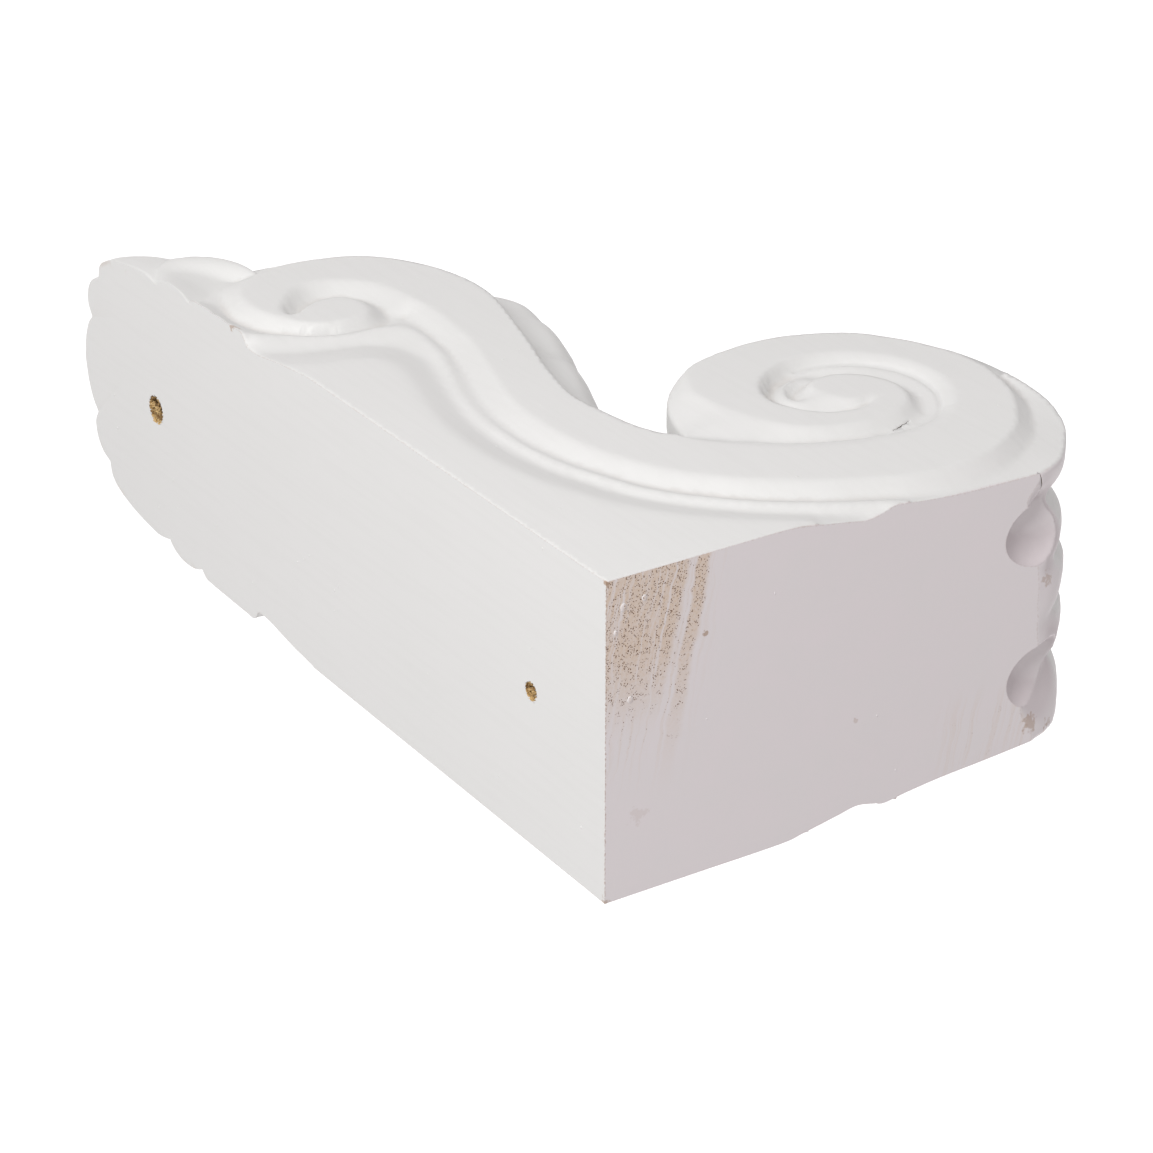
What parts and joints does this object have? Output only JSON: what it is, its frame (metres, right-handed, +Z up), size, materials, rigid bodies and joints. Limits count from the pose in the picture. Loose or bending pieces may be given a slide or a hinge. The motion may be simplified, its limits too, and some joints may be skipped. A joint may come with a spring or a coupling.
{
  "type": "scroll corbel",
  "caption": "Wall corbel of carved wood, primed white: an S-scroll block with a large volute at the top, a small one below, a reeded front and a leaf drop.",
  "frame": {"origin": "on the flat back face, at mid-width, 120 mm below the flat top face", "axes": "+Z up as installed; +Y out of the back face into the wall, so the volutes project towards -Y; X across the width"},
  "size_m": [0.1, 0.1849, 0.3249],
  "materials": {
    "corbel": "white primer on carved hardwood, matt, with a little bare end grain on the top"
  },
  "bodies": {
    "root": {"corbel": "corbel"}
  },
  "joints": []
}
